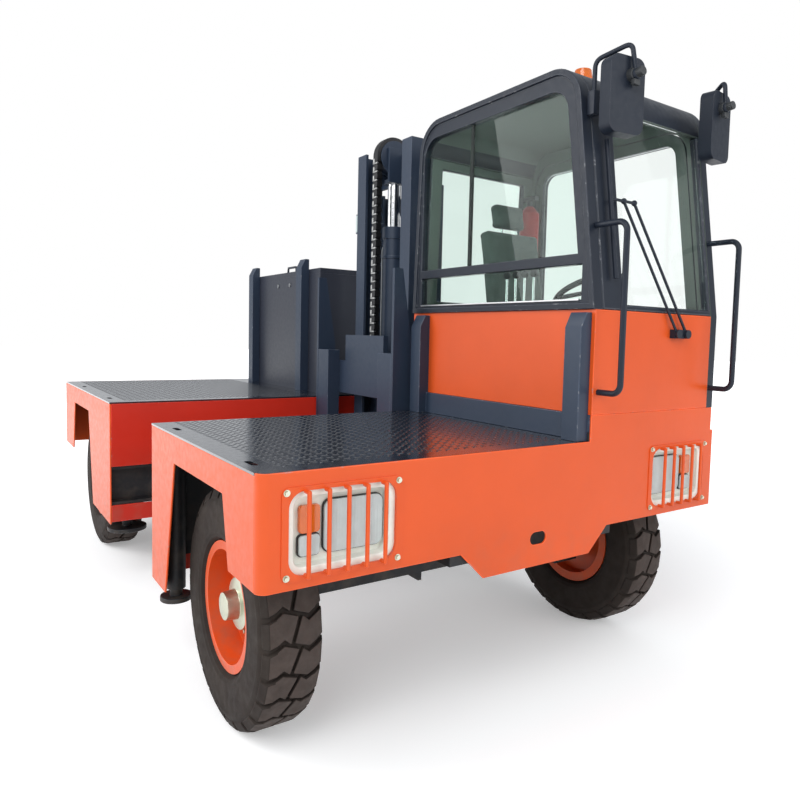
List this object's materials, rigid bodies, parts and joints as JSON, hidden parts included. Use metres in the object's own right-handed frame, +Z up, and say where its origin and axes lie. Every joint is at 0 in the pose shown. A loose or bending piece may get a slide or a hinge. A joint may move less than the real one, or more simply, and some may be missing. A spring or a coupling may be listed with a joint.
{
  "type": "side loader forklift",
  "caption": "Side loader forklift with load decks either side of a reaching mast, a hollow glazed cab, engine hood, steered front wheels, hinged door and stabilizer jacks.",
  "frame": {"origin": "on the floor, under the middle of the overall box", "axes": "+X forward to the headlamp end, +Y to the cab side, +Z up"},
  "size_m": [4.635, 2.56, 3.046],
  "materials": {
    "orange_paint": "gloss orange paint",
    "red_paint": "gloss red-orange paint",
    "tread_plate": "worn black tread plate",
    "mast_paint": "satin blue-grey paint",
    "hood_paint": "satin dark blue-grey paint",
    "frame_paint": "dull black paint",
    "cast_iron": "plain casting",
    "cab_black": "satin black paint",
    "cab_trim": "moulded dark trim",
    "seat_cover": "grey seat cover",
    "window_glass": "tinted window glass",
    "lamp_housing": "cream moulding",
    "lamp_lens": "fluted clear lens",
    "amber_lens": "amber lens",
    "red_lens": "red lens",
    "red_steel": "gloss red paint",
    "tyre": "brown-black rubber",
    "jack_steel": "plain steel",
    "chain_steel": "oiled steel"
  },
  "bodies": {
    "chassis": {"chassis_frame": "frame_paint", "well_panels": "red_paint", "front_panel": "orange_paint", "load_side_panels": "orange_paint", "far_side_panels": "orange_paint", "rear_panel": "orange_paint", "front_deck": "tread_plate", "rear_deck": "tread_plate", "cab_posts": "mast_paint", "hood_posts": "mast_paint", "hood_box": "hood_paint", "engine_block": "cast_iron", "hydraulic_tank": "frame_paint", "far_steps": "tread_plate", "front_axle": "frame_paint", "rear_axle": "frame_paint", "headlamp_housings": "lamp_housing", "headlamp_lenses": "lamp_lens", "amber_lamps": "amber_lens", "headlamp_guards": "orange_paint", "tail_lamps": "red_lens", "cab_floor": "cab_trim", "cab_lower_panels": "orange_paint", "cab_side_frame": "cab_black", "cab_front_frame": "cab_black", "cab_roof": "cab_black", "cab_rear_wall": "cab_black", "cab_far_frame": "cab_black", "cab_glass": "window_glass", "seat_base": "cab_trim", "seat_cushions": "seat_cover", "steering_wheel": "cab_trim", "control_console": "cab_trim", "fire_extinguisher": "red_steel", "cab_rails": "cab_black", "mirror_heads": "cab_black", "wiper": "cab_black"},
    "door": {"cab_door": "cab_black", "door_glass": "window_glass"},
    "hood_lid": {"hood_lid": "hood_paint"},
    "knuckle_l": {"knuckle_l": "frame_paint"},
    "knuckle_r": {"knuckle_r": "frame_paint"},
    "wheel_fl": {"rim_fl": "red_paint", "tyre_fl": "tyre"},
    "wheel_fr": {"rim_fr": "red_paint", "tyre_fr": "tyre"},
    "wheel_rl": {"rim_rl": "red_paint", "tyre_rl": "tyre"},
    "wheel_rr": {"rim_rr": "red_paint", "tyre_rr": "tyre"},
    "jack_front": {"jack_foot_front": "jack_steel"},
    "jack_rear": {"jack_foot_rear": "jack_steel"},
    "mast_trolley": {"mast_trolley": "mast_paint", "mast_outer": "mast_paint"},
    "inner_mast": {"mast_inner": "mast_paint", "lift_chain": "chain_steel"},
    "carriage": {"fork_carriage": "mast_paint", "forks": "mast_paint"}
  },
  "joints": [
    {"name": "steer_left", "type": "hinge", "parent": "chassis", "child": "knuckle_l", "pos_m": [1.4835, 0.89, 0.509], "axis": [0, 0, 1], "range_deg": [-35, 35]},
    {"name": "steer_right", "type": "hinge", "parent": "chassis", "child": "knuckle_r", "pos_m": [1.4835, -0.89, 0.509], "axis": [0, 0, 1], "range_deg": [-35, 35]},
    {"name": "wheel_fl_spin", "type": "hinge", "parent": "knuckle_l", "child": "wheel_fl", "pos_m": [1.4835, 1.05, 0.509], "axis": [0, 1, 0], "continuous": true},
    {"name": "wheel_fr_spin", "type": "hinge", "parent": "knuckle_r", "child": "wheel_fr", "pos_m": [1.4835, -1.05, 0.509], "axis": [0, 1, 0], "continuous": true},
    {"name": "wheel_rl_spin", "type": "hinge", "parent": "chassis", "child": "wheel_rl", "pos_m": [-1.4745, 1.05, 0.509], "axis": [0, 1, 0], "continuous": true},
    {"name": "wheel_rr_spin", "type": "hinge", "parent": "chassis", "child": "wheel_rr", "pos_m": [-1.4745, -1.05, 0.509], "axis": [0, 1, 0], "continuous": true},
    {"name": "door_hinge", "type": "hinge", "parent": "chassis", "child": "door", "pos_m": [0.8125, 1.269, 1.5], "axis": [0, 0, 1], "range_deg": [0, 95]},
    {"name": "hood_hinge", "type": "hinge", "parent": "chassis", "child": "hood_lid", "pos_m": [-1.2575, 1.268, 2.15], "axis": [-1, 0, 0], "range_deg": [0, 70]},
    {"name": "jack_front_slide", "type": "slide", "parent": "chassis", "child": "jack_front", "axis": [0, 0, -1], "range_m": [0, 0.34]},
    {"name": "jack_rear_slide", "type": "slide", "parent": "chassis", "child": "jack_rear", "axis": [0, 0, -1], "range_m": [0, 0.34]},
    {"name": "mast_reach", "type": "slide", "parent": "chassis", "child": "mast_trolley", "axis": [0, -1, 0], "range_m": [0, 1.38]},
    {"name": "mast_lift", "type": "slide", "parent": "mast_trolley", "child": "inner_mast", "axis": [0, 0, 1], "range_m": [-0.28, 1.14]},
    {"name": "carriage_lift", "type": "slide", "parent": "inner_mast", "child": "carriage", "axis": [0, 0, 1], "range_m": [-0.28, 1.14]}
  ],
  "couplings": [
    {"joint": "steer_right", "follows": "steer_left", "ratio": 1},
    {"joint": "carriage_lift", "follows": "mast_lift", "ratio": 1}
  ]
}
